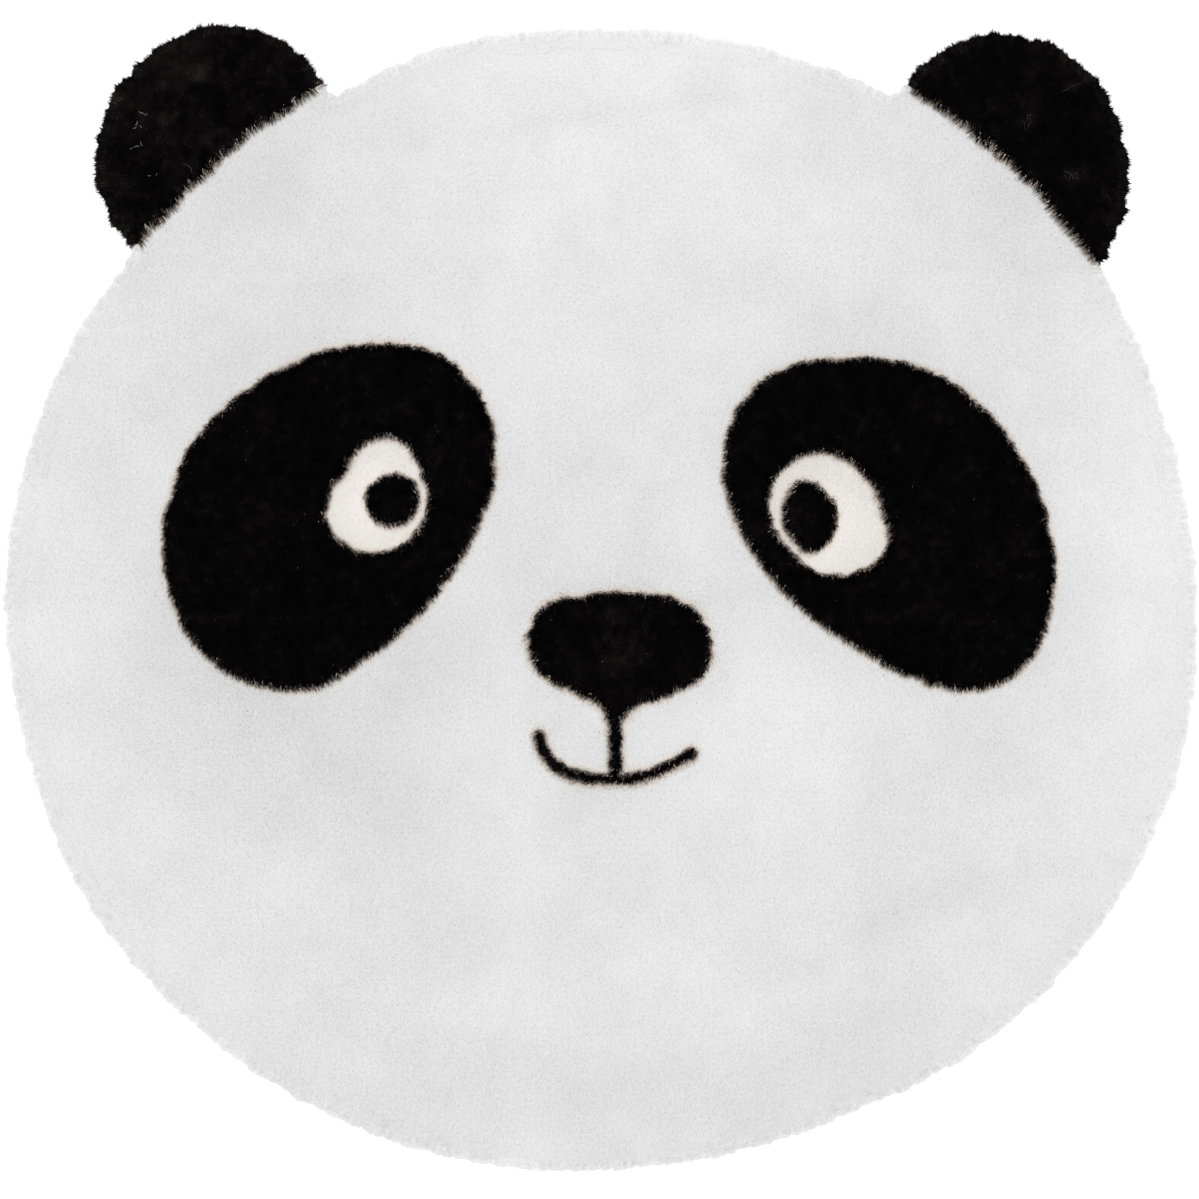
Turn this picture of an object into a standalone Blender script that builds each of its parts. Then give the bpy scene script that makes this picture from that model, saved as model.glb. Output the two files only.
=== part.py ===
"""A flat plush rug for a child's room, cut in the shape of an animal's head with two round ears.

Sizes are in metres. +X is to the right of the face, +Y is towards the ears and +Z is up, out of
the pile. The rug lies face up on z = 0, with the middle of its outline's box at the origin.
"""

import math
import random
from collections import namedtuple

import bmesh
import bpy
from mathutils import Vector, kdtree, noise
from mathutils.geometry import delaunay_2d_cdt

# The head's edge: its distance from the middle of the face, by direction counter-clockwise from
# +X. The head is wider than it is long, and it is a little fuller at the lower right.
HeadEdge = namedtuple("HeadEdge", "direction_deg radius")
HEAD = (
    HeadEdge(0, 0.450),
    HeadEdge(15, 0.447),
    HeadEdge(30, 0.452),
    HeadEdge(45, 0.449),
    HeadEdge(60, 0.439),
    HeadEdge(75, 0.434),
    HeadEdge(90, 0.430),
    HeadEdge(105, 0.434),
    HeadEdge(120, 0.428),
    HeadEdge(135, 0.434),
    HeadEdge(150, 0.441),
    HeadEdge(165, 0.445),
    HeadEdge(180, 0.449),
    HeadEdge(195, 0.447),
    HeadEdge(210, 0.450),
    HeadEdge(225, 0.443),
    HeadEdge(240, 0.439),
    HeadEdge(255, 0.435),
    HeadEdge(270, 0.430),
    HeadEdge(285, 0.427),
    HeadEdge(300, 0.433),
    HeadEdge(315, 0.445),
    HeadEdge(330, 0.452),
    HeadEdge(345, 0.455),
)

# The ears: ellipses that the head's edge runs into, with the direction of their longer axis
Ear = namedtuple("Ear", "name x y half_long half_short turned_deg")
EARS = (
    Ear("left", -0.291, 0.341, 0.096, 0.086, 56),
    Ear("right", 0.302, 0.318, 0.109, 0.096, 81),
)
CORNER_EASE = 0.016  # how much of the edge each corner between head and ear is rounded over

# The section at the rim, from the cut cloth up: how far inside the edge, and how high
Ring = namedtuple("Ring", "inside height")
CLOTH_EDGE = Ring(0.0035, 0.0)
SHOULDER = Ring(0.0045, 0.0105)
CROWN = Ring(0.0150, 0.0140)

# The locks of pile that stand out from the rim, one beside the other
LOCK_COUNT = 288
LOCK_WIDTH_SPREAD = 0.45  # share by which a lock is wider or narrower than the mean
LOCK_REACH_LEAST = 0.0035
LOCK_REACH_USUAL = 0.0060
LOCK_REACH_MOST = 0.0100
LOCK_SWAY = 0.0032  # sideways, either way
LOCK_DROOP = 0.0035  # the most that a lock's tip hangs below the middle of its root

# The pile's lumps: soft swells and hollows where it has been brushed and trodden
Lump = namedtuple("Lump", "wavelength height")
LUMPS = (
    Lump(0.150, 0.0013),
    Lump(0.060, 0.0014),
    Lump(0.034, 0.0008),
)

# How finely the solid is drawn: the distance between the points of its top and of its bottom
TOP_STEP = 0.0165
BOTTOM_STEP = 0.0700
STEP_SPREAD = 0.22  # share of the step by which a point is off its grid
STEP_CLEARANCE = 0.6  # share of the step that a point keeps from the ring around it
ROW_STEP = math.sqrt(0.75)  # rows of even triangles stand this share of a step apart
EDGE_SAMPLES = 3600
WELD_DISTANCE = 1e-7
SHARP_FROM_DEG = 50
SEED = 11

PILE_COLOUR = (0.80, 0.80, 0.79, 1.0)
PILE_ROUGHNESS = 0.95


def clear_scene():
    for thing in list(bpy.data.objects):
        bpy.data.objects.remove(thing, do_unlink=True)


def head_reach(direction):
    """The head's radius in a direction given in radians, even between the rows of HEAD."""
    place = math.degrees(direction) % 360 * len(HEAD) / 360
    before = int(place)
    near = HEAD[before % len(HEAD)].radius
    far = HEAD[(before + 1) % len(HEAD)].radius
    return near + (far - near) * (place - before)


def ear_reach(direction, ear):
    """How far a ray from the middle of the face goes before it leaves the ear, or 0 if it misses.

    The ray and its start are taken into the ear's own axes, where the ear is a circle of radius 1.
    """
    turn = math.radians(ear.turned_deg)
    ray = Vector((
        math.cos(direction - turn) / ear.half_long,
        math.sin(direction - turn) / ear.half_short,
    ))
    start = Vector((
        -(ear.x * math.cos(turn) + ear.y * math.sin(turn)) / ear.half_long,
        (ear.x * math.sin(turn) - ear.y * math.cos(turn)) / ear.half_short,
    ))
    inside = ray.dot(start) ** 2 - ray.dot(ray) * (start.dot(start) - 1)
    if inside <= 0:
        return 0.0
    return (math.sqrt(inside) - ray.dot(start)) / ray.dot(ray)


def loop_length(points):
    return sum((points[i - 1] - point).length for i, point in enumerate(points))


def along_loop(points, places):
    """The points of a closed loop at these distances along it, given in rising order."""
    ends = points[1:] + points[:1]
    found = []
    passed = 0.0
    i = 0
    for place in places:
        while passed + (ends[i] - points[i]).length < place:
            passed += (ends[i] - points[i]).length
            i += 1
        share = (place - passed) / (ends[i] - points[i]).length
        found.append(points[i].lerp(ends[i], share))
    return found


def edge_of_rug():
    """The rug's edge as evenly spaced points, with the corners beside the ears rounded."""
    rough = []
    for i in range(EDGE_SAMPLES):
        direction = 2 * math.pi * i / EDGE_SAMPLES
        reach = max(head_reach(direction), *(ear_reach(direction, ear) for ear in EARS))
        rough.append(Vector((math.cos(direction), math.sin(direction))) * reach)
    spacing = loop_length(rough) / EDGE_SAMPLES
    even = along_loop(rough, [spacing * i for i in range(EDGE_SAMPLES)])
    beside = range(-round(CORNER_EASE / 2 / spacing), round(CORNER_EASE / 2 / spacing) + 1)
    eased = []
    for i in range(EDGE_SAMPLES):
        near = [even[(i + k) % EDGE_SAMPLES] for k in beside]
        eased.append(sum(near, Vector((0, 0))) / len(near))
    return eased


def lock_bounds(length, rng):
    """Where one lock ends and the next begins, as distances along the edge."""
    widths = []
    for _ in range(LOCK_COUNT):
        widths.append(rng.uniform(1 - LOCK_WIDTH_SPREAD, 1 + LOCK_WIDTH_SPREAD))
    return [length * sum(widths[:i]) / sum(widths) for i in range(LOCK_COUNT)]


def outward(points):
    """The outward direction at each point of a counter-clockwise loop."""
    normals = []
    for i in range(len(points)):
        along = points[(i + 1) % len(points)] - points[i - 1]
        normals.append(Vector((along.y, -along.x)).normalized())
    return normals


def cloth_height(x, y):
    return CLOTH_EDGE.height


def pile_height(x, y):
    lumps = (lump.height * noise.noise(Vector((x, y, 0)) / lump.wavelength) for lump in LUMPS)
    return CROWN.height + sum(lumps)


def shoulder_height(x, y):
    return SHOULDER.height


def make_ring(rug, edge, inside, height_at):
    verts = []
    for point, normal in zip(edge, outward(edge)):
        x, y = point - normal * inside
        verts.append(rug.verts.new((x, y, height_at(x, y))))
    return verts


def make_band(rug, lower, upper):
    faces = []
    for i in range(len(lower)):
        faces.append(rug.faces.new((lower[i - 1], lower[i], upper[i], upper[i - 1])))
    return faces


def raise_locks(rug, band, rng):
    """Each face of the band becomes a lock: a four-sided point of pile that leans its own way."""
    rug.normal_update()
    for face in band:
        out = Vector((face.normal.x, face.normal.y, 0)).normalized()
        side = Vector((-out.y, out.x, 0))
        tip = bmesh.ops.poke(rug, faces=[face])["verts"][0]
        tip.co += out * rng.triangular(LOCK_REACH_LEAST, LOCK_REACH_MOST, LOCK_REACH_USUAL)
        tip.co += side * rng.uniform(-LOCK_SWAY, LOCK_SWAY)
        tip.co.z -= rng.uniform(0, LOCK_DROOP)


def grid_points(reach, step, rng):
    """Points a step apart in rows of even triangles, each a little off its place."""
    rows = math.ceil(reach / (step * ROW_STEP))
    columns = math.ceil(reach / step)
    for row in range(-rows, rows + 1):
        for column in range(-columns, columns + 1):
            x = column + row % 2 / 2 + rng.uniform(-STEP_SPREAD, STEP_SPREAD)
            y = row * ROW_STEP + rng.uniform(-STEP_SPREAD, STEP_SPREAD)
            yield Vector((x, y)) * step


def fill_ring(rug, ring, step, height_at, rng):
    """Fills a ring with triangles whose inner points stand about one step apart."""
    places = [vert.co.xy for vert in ring]
    rim = kdtree.KDTree(len(ring))
    for i, place in enumerate(places):
        rim.insert(place.to_3d(), i)
    rim.balance()
    for place in grid_points(max(place.length for place in places), step, rng):
        if rim.find(place.to_3d())[2] > STEP_CLEARANCE * step:
            places.append(place)
    outline = list(range(len(ring)))
    inside_only = 1
    found, _, triangles, sources, _, _ = delaunay_2d_cdt(
        places, [], [outline], inside_only, WELD_DISTANCE
    )
    verts = {i: ring[source[0]] for i, source in enumerate(sources) if source[0] < len(ring)}
    for triangle in triangles:
        for i in triangle:
            if i not in verts:
                x, y = found[i]
                verts[i] = rug.verts.new((x, y, height_at(x, y)))
        rug.faces.new([verts[i] for i in triangle])


def centre_outline(rug):
    """Puts the middle of the rug's box at x = 0, y = 0."""
    for axis in (0, 1):
        places = [vert.co[axis] for vert in rug.verts]
        middle = (min(places) + max(places)) / 2
        for vert in rug.verts:
            vert.co[axis] -= middle


def pile_material():
    material = bpy.data.materials.new("plush")
    material.use_nodes = True
    shader = material.node_tree.nodes["Principled BSDF"]
    shader.inputs["Base Color"].default_value = PILE_COLOUR
    shader.inputs["Roughness"].default_value = PILE_ROUGHNESS
    shader.inputs["Metallic"].default_value = 0.0
    material.diffuse_color = PILE_COLOUR
    return material


def make_rug():
    """The whole rug is one cloth with its pile: flat below, lumpy above, with locks all round."""
    rng = random.Random(SEED)
    smooth_edge = edge_of_rug()
    edge = along_loop(smooth_edge, lock_bounds(loop_length(smooth_edge), rng))
    rug = bmesh.new()
    cloth = make_ring(rug, edge, CLOTH_EDGE.inside, cloth_height)
    shoulder = make_ring(rug, edge, SHOULDER.inside, shoulder_height)
    crown = make_ring(rug, edge, CROWN.inside, pile_height)
    rim = make_band(rug, cloth, shoulder)
    make_band(rug, shoulder, crown)
    fill_ring(rug, crown, TOP_STEP, pile_height, rng)
    fill_ring(rug, cloth, BOTTOM_STEP, cloth_height, rng)
    bmesh.ops.recalc_face_normals(rug, faces=rug.faces)
    raise_locks(rug, rim, rng)
    centre_outline(rug)
    mesh = bpy.data.meshes.new("plush_rug")
    rug.to_mesh(mesh)
    rug.free()
    mesh.materials.append(pile_material())
    mesh.shade_smooth()
    mesh.set_sharp_from_angle(angle=math.radians(SHARP_FROM_DEG))
    bpy.context.scene.collection.objects.link(bpy.data.objects.new("plush_rug", mesh))


def main():
    clear_scene()
    make_rug()


main()
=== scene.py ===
"""A plush rug for a child's room, cut in the shape of an animal's head and printed with its face.

Sizes are in metres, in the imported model's frame: the rug lies face up on z = 0, with its ears
towards +Y. The pile is made as joined meshes of fine blades, a blade for a few fibres.
"""

import math

import bmesh
import bpy
import numpy as np
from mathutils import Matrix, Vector
from mathutils.bvhtree import BVHTree


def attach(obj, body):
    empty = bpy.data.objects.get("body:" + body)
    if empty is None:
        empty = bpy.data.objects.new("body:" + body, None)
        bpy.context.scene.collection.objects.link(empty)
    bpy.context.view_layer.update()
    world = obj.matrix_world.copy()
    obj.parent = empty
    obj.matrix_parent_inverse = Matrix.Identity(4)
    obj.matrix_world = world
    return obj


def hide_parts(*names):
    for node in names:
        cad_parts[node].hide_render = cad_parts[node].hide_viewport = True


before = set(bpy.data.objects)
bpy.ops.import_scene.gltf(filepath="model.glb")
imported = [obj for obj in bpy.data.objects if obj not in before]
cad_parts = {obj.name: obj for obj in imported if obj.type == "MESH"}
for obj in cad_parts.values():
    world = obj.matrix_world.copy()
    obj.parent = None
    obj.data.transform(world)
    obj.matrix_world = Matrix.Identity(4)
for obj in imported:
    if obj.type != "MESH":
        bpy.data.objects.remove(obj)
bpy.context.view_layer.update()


# ---------------------------------------------------------------------------------------------
# Ground cloth. A knitted polyester ground about 1.6 mm thick, cut to the outline of the head
# and its ears. It lies flat, and its cut edge hides under the pile that splays out over it.

CLOTH_THICKNESS = 0.0016
CLOTH_COLOUR = (0.70, 0.69, 0.66, 1.0)
WALE_PITCH = 0.0028  # from one column of stitches to the next
COURSE_PITCH = 0.0036  # from one row of stitches to the next
STITCH_RELIEF = 0.00025
STITCH_WAVE = 0.314  # the scale at which a wave repeats once a metre
ON_FLOOR = 1e-4  # points lower than this belong to the underside


def flat_underside_of(solid, name):
    """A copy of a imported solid's underside alone, as one joined face down on the floor."""
    piece = bpy.data.objects.new(name, solid.data.copy())
    bpy.context.scene.collection.objects.link(piece)
    bpy.ops.object.select_all(action="DESELECT")
    piece.select_set(True)
    bpy.context.view_layer.objects.active = piece
    bpy.ops.object.mode_set(mode="EDIT")
    bpy.ops.mesh.select_all(action="SELECT")
    bpy.ops.mesh.remove_doubles(threshold=1e-5)
    bpy.ops.mesh.select_all(action="DESELECT")
    cloth = bmesh.from_edit_mesh(piece.data)
    for face in cloth.faces:
        face.select_set(any(vert.co.z > ON_FLOOR for vert in face.verts))
    bmesh.update_edit_mesh(piece.data)
    bpy.ops.mesh.delete(type="FACE")
    bpy.ops.object.mode_set(mode="OBJECT")
    return piece


def outline_of(piece):
    """The points of a flat piece's edge, counter-clockwise as seen from above."""
    cloth = bmesh.new()
    cloth.from_mesh(piece.data)
    edge = np.array([vert.co[:2] for vert in cloth.verts if vert.is_boundary])
    cloth.free()
    return edge[np.argsort(np.arctan2(edge[:, 1], edge[:, 0]))]


def knit_material():
    material = bpy.data.materials.new("knitted_ground")
    material.use_nodes = True
    nodes = material.node_tree.nodes
    links = material.node_tree.links
    shader = nodes["Principled BSDF"]
    shader.inputs["Roughness"].default_value = 0.9
    shader.inputs["Specular IOR Level"].default_value = 0.2
    place = nodes.new("ShaderNodeTexCoord")
    wales = nodes.new("ShaderNodeTexWave")
    wales.bands_direction = "X"
    wales.inputs["Scale"].default_value = STITCH_WAVE / WALE_PITCH
    wales.inputs["Distortion"].default_value = 0.6
    wales.inputs["Detail Scale"].default_value = 40
    courses = nodes.new("ShaderNodeTexWave")
    courses.bands_direction = "Y"
    courses.inputs["Scale"].default_value = STITCH_WAVE / COURSE_PITCH
    courses.inputs["Distortion"].default_value = 0.6
    courses.inputs["Detail Scale"].default_value = 40
    stitches = nodes.new("ShaderNodeMath")
    stitches.operation = "MULTIPLY"
    relief = nodes.new("ShaderNodeBump")
    relief.inputs["Distance"].default_value = STITCH_RELIEF
    clouds = nodes.new("ShaderNodeTexNoise")
    clouds.inputs["Scale"].default_value = 14
    clouds.inputs["Detail"].default_value = 3
    tint = nodes.new("ShaderNodeMix")
    tint.data_type = "RGBA"
    tint.inputs["A"].default_value = CLOTH_COLOUR
    tint.inputs["B"].default_value = [part * 0.88 for part in CLOTH_COLOUR[:3]] + [1.0]
    for texture in (wales, courses, clouds):
        links.new(place.outputs["Object"], texture.inputs["Vector"])
    links.new(wales.outputs["Fac"], stitches.inputs[0])
    links.new(courses.outputs["Fac"], stitches.inputs[1])
    links.new(stitches.outputs[0], relief.inputs["Height"])
    links.new(clouds.outputs["Fac"], tint.inputs["Factor"])
    links.new(tint.outputs["Result"], shader.inputs["Base Color"])
    links.new(relief.outputs["Normal"], shader.inputs["Normal"])
    return material


rug_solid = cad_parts["plush_rug"]
ground_cloth = flat_underside_of(rug_solid, "ground_cloth")
cloth_edge = outline_of(ground_cloth)
thickness = ground_cloth.modifiers.new("thickness", "SOLIDIFY")
thickness.thickness = CLOTH_THICKNESS
thickness.offset = -1.0
bpy.ops.object.modifier_apply(modifier=thickness.name)
ground_cloth.data.materials.clear()
ground_cloth.data.materials.append(knit_material())
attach(ground_cloth, "root")
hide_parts("plush_rug")


# ---------------------------------------------------------------------------------------------
# Face print. Black dye that goes through the pile: the ears beyond the head's own curve, two
# eye patches with a bare eye and a pupil in each, a nose, its stem and a mouth line. The sizes
# and places of these shapes were fitted to the photograph.

MM = 0.001

# Rounds of the print: the middle, the two half lengths and the way the longer one is turned
LEFT_PATCH = ((-233, 46, 113, 96, 82), (-170, 98, 97, 85, 56))
LEFT_PATCH_BLEND = 65
RIGHT_PATCH = ((252, 51, 122, 74, 113), (209, 67, 131, 93, 137))
RIGHT_PATCH_BLEND = 41
LEFT_EYE = ((-168.5, 71, 41.5, 35.3, 32), (-163.5, 85, 30, 37, 5))
LEFT_EYE_BLEND = 4
RIGHT_EYE = ((186, 43, 33, 25, 15), (166.3, 71, 40.3, 41.3, 63))
RIGHT_EYE_BLEND = 25
LEFT_PUPIL = (-158.6, 74.8, 20, 18.8, 44)
RIGHT_PUPIL = ((158.5, 61, 24.3, 18, 89), (152.5, 66.5, 20.5, 11.5, 96))
RIGHT_PUPIL_BLEND = 10
NOSE = ((13, -18, 54, 14, 1), (15, -41, 64, 35, -3))
NOSE_BLEND = 37
STEM_BLEND = 25
LINE_HALF_WIDTH = 3.1
STEM = ((10.5, -60), (10, -100), (10, -136))
MOUTH_LEFT = ((-47, -103), (-42, -137), (11, -136))
MOUTH_RIGHT = ((11, -136), (34, -138), (68, -116))
CURVE_STEPS = 14
LEFT_EAR_CURVE = 441  # radius, about the middle of the rug
RIGHT_EAR_CURVE = 452
EAR_PRINT_FROM = 245  # the ears' print lies above this height on the face

# The dye's edge wanders: wavelength in metres, and how far in mm
EDGE_WAVES = ((0.026, 1.1), (0.010, 1.0), (0.0048, 1.3))
EAR_EDGE_WAVES = 1.5  # the same waves, so much deeper
LINE_EDGE_WAVES = 0.5
EYE_TINGE_MM = 4.4  # the eyes keep the tinge that the rest has this far from its print

LATTICE = 64  # soft noise repeats after so many wavelengths
LATTICE_SHIFT = (200.3, 200.7)


def soft_noise(x, y, wavelength, seed):
    """Even swells from -1 to 1 over the plan, a wavelength apart."""
    lattice = np.random.default_rng(seed).uniform(-1, 1, (LATTICE, LATTICE))
    u = x / wavelength + LATTICE_SHIFT[0]
    v = y / wavelength + LATTICE_SHIFT[1]
    i = np.floor(u).astype(int)
    j = np.floor(v).astype(int)
    s = u - i
    t = v - j
    s = s * s * (3 - 2 * s)
    t = t * t * (3 - 2 * t)
    left = i % LATTICE
    right = (i + 1) % LATTICE
    below = j % LATTICE
    above = (j + 1) % LATTICE
    near = lattice[below, left] * (1 - s) + lattice[below, right] * s
    far = lattice[above, left] * (1 - s) + lattice[above, right] * s
    return near * (1 - t) + far * t


def round_gap(x, y, middle_x, middle_y, half_long, half_short, turned_deg):
    """How far outside an ellipse each place is, or below 0 inside it."""
    turn = math.radians(turned_deg)
    along = (x - middle_x) * math.cos(turn) + (y - middle_y) * math.sin(turn)
    across = (y - middle_y) * math.cos(turn) - (x - middle_x) * math.sin(turn)
    share = np.hypot(along / half_long, across / half_short)
    steepness = np.hypot(along / half_long**2, across / half_short**2)
    return share * (share - 1) / np.maximum(steepness, 1e-6)


def blended(gap, other_gap, blend):
    """Two prints run together, with their corner filled over the given length."""
    share = np.clip(0.5 + 0.5 * (other_gap - gap) / blend, 0, 1)
    return other_gap + (gap - other_gap) * share - blend * share * (1 - share)


def line_gap(x, y, start, bend, end):
    """How far outside a drawn line each place is. The line is one even curve."""
    share = np.linspace(0, 1, CURVE_STEPS + 1)[:, None]
    start, bend, end = (np.array(point, float) for point in (start, bend, end))
    points = (1 - share) ** 2 * start + 2 * share * (1 - share) * bend + share**2 * end
    gap = np.full(np.shape(x), 1e3)
    for a, b in zip(points[:-1], points[1:]):
        run = b - a
        along = np.clip(((x - a[0]) * run[0] + (y - a[1]) * run[1]) / (run @ run), 0, 1)
        gap = np.minimum(gap, np.hypot(x - a[0] - along * run[0], y - a[1] - along * run[1]))
    return gap - LINE_HALF_WIDTH


def edge_waves(x, y):
    """How far the dye's edge wanders at each place, in mm."""
    return sum(
        depth * soft_noise(x, y, wavelength, 31 + i)
        for i, (wavelength, depth) in enumerate(EDGE_WAVES)
    )


def eye_gaps(x, y):
    """How far outside each bare eye a place given in mm is, or below 0 inside it."""
    left = blended(*(round_gap(x, y, *part) for part in LEFT_EYE), LEFT_EYE_BLEND)
    right = blended(*(round_gap(x, y, *part) for part in RIGHT_EYE), RIGHT_EYE_BLEND)
    return left, right


def print_gap(x, y):
    """How far outside the black print each place on the rug is, in mm, or below 0 inside it."""
    waves = edge_waves(x, y)
    x = np.asarray(x) / MM
    y = np.asarray(y) / MM
    left = blended(*(round_gap(x, y, *part) for part in LEFT_PATCH), LEFT_PATCH_BLEND)
    right = blended(*(round_gap(x, y, *part) for part in RIGHT_PATCH), RIGHT_PATCH_BLEND)
    left_eye, right_eye = eye_gaps(x, y)
    right_pupil = blended(*(round_gap(x, y, *part) for part in RIGHT_PUPIL), RIGHT_PUPIL_BLEND)
    left = np.minimum(np.maximum(left, -left_eye), round_gap(x, y, *LEFT_PUPIL))
    right = np.minimum(np.maximum(right, -right_eye), right_pupil)
    nose = blended(*(round_gap(x, y, *part) for part in NOSE), NOSE_BLEND)
    nose = blended(nose, line_gap(x, y, *STEM), STEM_BLEND)
    mouth = np.minimum(line_gap(x, y, *MOUTH_LEFT), line_gap(x, y, *MOUTH_RIGHT))
    mouth += waves * LINE_EDGE_WAVES
    head_curve = np.where(x < 0, LEFT_EAR_CURVE, RIGHT_EAR_CURVE)
    ears = np.where(y > EAR_PRINT_FROM, head_curve - np.hypot(x, y), 1e3)
    ears += waves * EAR_EDGE_WAVES
    return np.minimum.reduce([left + waves, right + waves, nose + waves, mouth, ears])


def with_eye_tinge(x, y, gap):
    """The same gaps, but in the eyes none is so wide that the fibres lose their tinge."""
    in_an_eye = np.minimum(*eye_gaps(x / MM, y / MM)) < 0
    return np.where(in_an_eye, np.minimum(gap, EYE_TINGE_MM), gap)


# ---------------------------------------------------------------------------------------------
# Lower pile. The fibres stand so close that below their tips they show as one soft mass, which
# is fixed in the ground cloth all over. It rises from the cut edge to just under the crown.

EDGE_OVERHANG = 0.0035  # the pile's edge lies this far outside the cloth's
EDGE_STEP = 0.002  # from one point of the outline to the next
DIRECTION_POINTS = 3  # its direction is taken over so many points either way
PLAN_STEP = 0.0030
PLAN_MARGIN = 0.012
BED_STEP = 0.0046
BED_BELOW_CROWN = 0.0008
SHOULDER = 0.0100
ABOVE_RUG = 0.1  # the solid's top is looked for from this height

# The pile's section at the rim is a squarish quarter round. It opens out and up from a line
# inside the pile's edge, and the lower pile fills all but the outer part of it.
RIM_INSIDE = 0.0065
RIM_HEIGHT = 0.0035
RIM_REACH = 0.0026  # how far it stands past the pile's edge on the whole
RIM_FALL = 0.0031  # how far it goes below its line
RIM_SQUARENESS = 0.667  # 1 would make it round
RIM_SHARE = 0.84
RIM_TURNS_DEG = (90, 76, 62, 50, 40, 30, 18, 5, -12, -36)
RIM_TUCK = 0.0045  # the mass ends on the cloth, this far inside the pile's edge
RIM_WAVES = ((0.022, 0.0010), (0.009, 0.0013), (0.0040, 0.0012))
BLACK_RIM_WAVES = ((0.018, 0.0015), (0.0068, 0.0021), (0.0030, 0.0007))
RIM_FADE = 2.5  # the dye's tinge ends so much sooner there
RIM_SIDE_PAINTED_LIGHT = 0.16  # painted light: how much lighter it is made where it faces sideways, for the light it lacks there
RIM_FOOT_TURN_DEG = -60  # where it meets the cloth its painted light is as at this turn
RIM_ROWS = 6
RIM_ROW_INSET = 0.05

# Painted light and shade on the white pile: lighter and darker patches where the nap takes the light
# more or less, and the bare eyes made lighter for the light that the black round them takes away.
# Middle, half lengths and turn, in mm, and how much more light is painted on
PAINTED_LIGHT_AND_SHADE = (
    (14, 324, 150, 115, 0, 0.045),
    (414, 20, 60, 230, 0, 0.063),
    (-420, 20, 45, 230, 0, 0.030),
    (105, -110, 85, 60, 0, 0.055),
    (-61, -40, 26, 330, 0, 0.030),
    (-285, -72, 75, 55, -30, -0.075),
    (-160, -160, 70, 120, 10, -0.050),
    (30, -375, 200, 40, 3, -0.045),
    (215, -245, 120, 14, 24, -0.040),
    (195, 205, 65, 38, -30, -0.045),
    (-245, 265, 70, 40, 35, -0.030),
    (-262, 305, 60, 32, 38, -0.050),
    (-240, 200, 75, 42, 15, -0.060),
    (325, 300, 50, 35, -40, -0.035),
    (-35, 45, 60, 45, 0, -0.055),
    (110, 35, 30, 60, 0, -0.040),
    (-150, -60, 45, 30, 20, -0.035),
    (330, -60, 70, 50, 0, -0.005),
    (-112, -25, 48, 45, 0, -0.045),
    (-5, 0, 65, 24, 0, -0.045),
    (-10, 365, 110, 9, 8, -0.035),
    (20, -300, 120, 60, 0, 0.018),
    (10, 418, 170, 40, 0, 0.058),
    (420, -130, 40, 110, 15, 0.030),
    (265, 285, 65, 36, -38, -0.045),
    (-245, 335, 52, 26, 38, -0.040),
    (-245, -125, 62, 48, 0, -0.035),
    (205, -318, 90, 30, 18, -0.038),
    (-150, -318, 120, 26, -15, -0.022),
    # Painted light: the bare eyes, made lighter for the bounced light that they lack
    (-169, 74, 40, 34, 30, 0.190),
    (176, 56, 40, 36, 30, 0.172),
)
CLOUDS = ((0.110, 0.014), (0.046, 0.026), (0.019, 0.018), (0.008, 0.010))
BLACK_CLOUDS = ((0.028, 0.40), (0.008, 0.60), (0.0035, 0.90))
SOOT_REACH_MM = 17.0  # stray dye dulls the white this far from the print
SOOT = 0.050
DYED_FROM_MM = 0.6  # fibres this far inside the print and more take the shades of black

# How much paler than plain black the print is, partly from its own paler fibres and fluff and partly
# painted sheen where the nap takes the light on the left ear: middle and reach in mm, and how many
# times
PALE_BLACK_AND_SHEEN = (
    (-291, 341, 105, 0.5),
    (-356, 370, 42, 1.7),
    (-316, 403, 40, 1.3),
    (-302, 397, 7, 7.0),
    (321, 359, 6, 4.0),
    (355, 319, 7, 5.0),
    (357, 387, 6, 3.0),
    (14, -32, 75, 0.7),
)
BED_PALE_AND_SHEEN_SHARE = 0.9  # the lower pile shows so much of the paler black and its painted sheen
RIM_PAINTED_GLOW = 2.4  # painted glow: the black made paler near the rim, for the light that comes through the fibres there
RIM_PAINTED_GLOW_REACH = 0.007

PRINT_FADE_MM = 6.0  # how far outside the black print the last tan tinge reaches
BLACK_DYE = (0.0010, 0.0008, 0.0008, 1.0)
BROWN_DYE = (0.050, 0.034, 0.027, 1.0)
SPARSE_DYE = (0.430, 0.370, 0.330, 1.0)
TAN_TINGE = (0.690, 0.625, 0.560, 1.0)
WHITE_PILE = (0.714, 0.716, 0.714, 1.0)


def resampled(edge, step):
    """A closed outline as points about one step apart, and the outward direction at each."""
    closed = np.vstack([edge, edge[:1]])
    passed = np.concatenate([[0], np.cumsum(np.hypot(*np.diff(closed, axis=0).T))])
    count = int(round(passed[-1] / step))
    at = np.arange(count) * passed[-1] / count
    points = np.stack([np.interp(at, passed, closed[:, k]) for k in (0, 1)], 1)
    along = np.roll(points, -DIRECTION_POINTS, 0) - np.roll(points, DIRECTION_POINTS, 0)
    outward = np.stack([along[:, 1], -along[:, 0]], 1)
    return points, outward / np.hypot(*outward.T)[:, None]


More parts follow.
